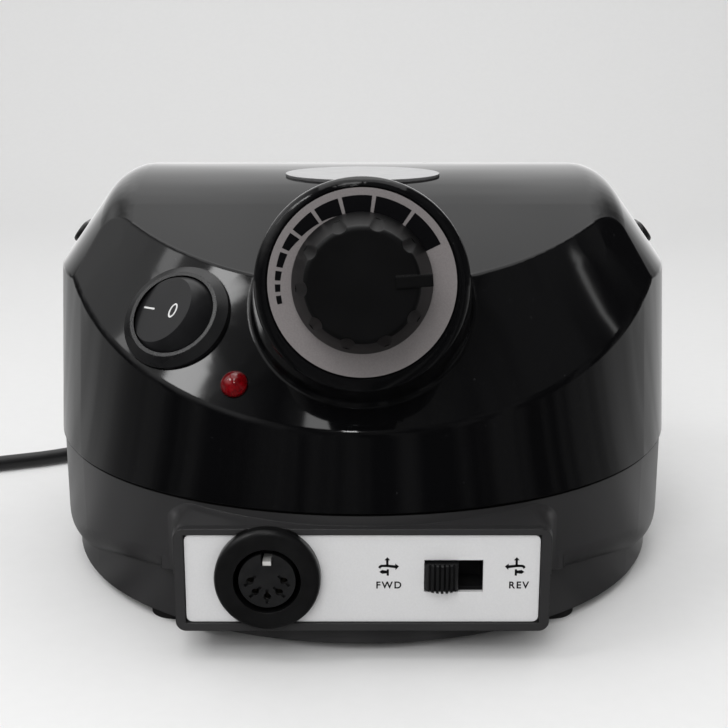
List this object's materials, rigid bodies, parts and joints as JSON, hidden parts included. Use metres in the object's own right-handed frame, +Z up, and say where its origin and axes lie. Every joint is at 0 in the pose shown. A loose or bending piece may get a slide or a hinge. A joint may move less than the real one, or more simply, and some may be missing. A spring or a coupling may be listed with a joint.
{
  "type": "nail drill control unit",
  "caption": "Desktop nail drill control box with a speed dial, power rocker, direction switch, handpiece socket and a coiled mains cord.",
  "frame": {"origin": "on the floor, under the middle of the box measured without its cord", "axes": "+Z up, the front with the dial and the socket faces -Y, +X to the right of someone who faces it"},
  "size_m": [0.2673, 0.2375, 0.102],
  "materials": {
    "shell_black": "glossy injection moulded black",
    "knob_black": "fine matt black",
    "socket_black": "satin black",
    "silver_plate": "satin silver paint on sheet",
    "dial_grey": "grey printed film",
    "badge_silver": "fine satin, bare",
    "contact_metal": "bright tinned",
    "steel": "zinc plated",
    "lens_red": "clear red lens",
    "rubber_black": "matt rubber",
    "cord_black": "smooth vinyl sheath",
    "core_iron": "varnished laminations",
    "winding_tape": "yellow tape over the wire",
    "board_green": "solder mask",
    "sink_aluminium": "extruded",
    "connector_cream": "nylon"
  },
  "bodies": {
    "root": {"lower_shell": "shell_black", "upper_shell": "shell_black", "front_plate": "silver_plate", "handpiece_socket": "socket_black", "socket_core": "socket_black", "socket_contacts": "contact_metal", "socket_earth_tab": "contact_metal", "direction_switch_frame": "socket_black", "direction_switch_terminals": "contact_metal", "dial_label": "dial_grey", "potentiometer": "contact_metal", "potentiometer_nut": "steel", "potentiometer_terminals": "contact_metal", "rocker_housing": "knob_black", "rocker_pin": "steel", "rocker_terminals": "contact_metal", "led_lens": "lens_red", "led_leads": "contact_metal", "badge_plate": "badge_silver", "holder_stud_left": "knob_black", "holder_stud_right": "knob_black", "rubber_feet": "rubber_black", "case_screws": "steel", "transformer_core": "core_iron", "transformer_windings": "winding_tape", "transformer_bracket": "steel", "transformer_screws": "steel", "control_board": "board_green", "board_screws": "steel", "smoothing_capacitor": "socket_black", "rectifier": "socket_black", "heat_sink": "sink_aluminium", "power_transistor": "socket_black", "board_connectors": "connector_cream", "fuse_holder": "socket_black", "fuse_cap": "socket_black", "foot_pedal_jack": "socket_black", "foot_jack_nut": "steel", "mode_switch_frame": "steel", "mode_switch_terminals": "contact_metal", "strain_relief": "rubber_black", "power_cord": "cord_black", "cord_coil": "cord_black", "power_plug": "cord_black", "plug_pins": "contact_metal"},
    "knob": {"speed_knob": "knob_black", "potentiometer_shaft": "steel"},
    "rocker": {"rocker_paddle": "knob_black"},
    "direction": {"direction_slider": "knob_black"},
    "mode": {"mode_slider": "knob_black"}
  },
  "joints": [
    {"name": "knob_turn", "type": "hinge", "parent": "root", "child": "knob", "pos_m": [0, -0.0631, 0.0816], "axis": [0, -0.9877, 0.1564], "range_deg": [-49, 221]},
    {"name": "rocker_tilt", "type": "hinge", "parent": "root", "child": "rocker", "pos_m": [-0.03952, -0.0364, 0.06755], "axis": [0.3096, 0.5366, 0.785], "range_deg": [0, 34]},
    {"name": "direction_slide", "type": "slide", "parent": "root", "child": "direction", "axis": [1, 0, 0], "range_m": [0, 0.005]},
    {"name": "mode_slide", "type": "slide", "parent": "root", "child": "mode", "axis": [1, 0, 0], "range_m": [0, 0.004]}
  ]
}
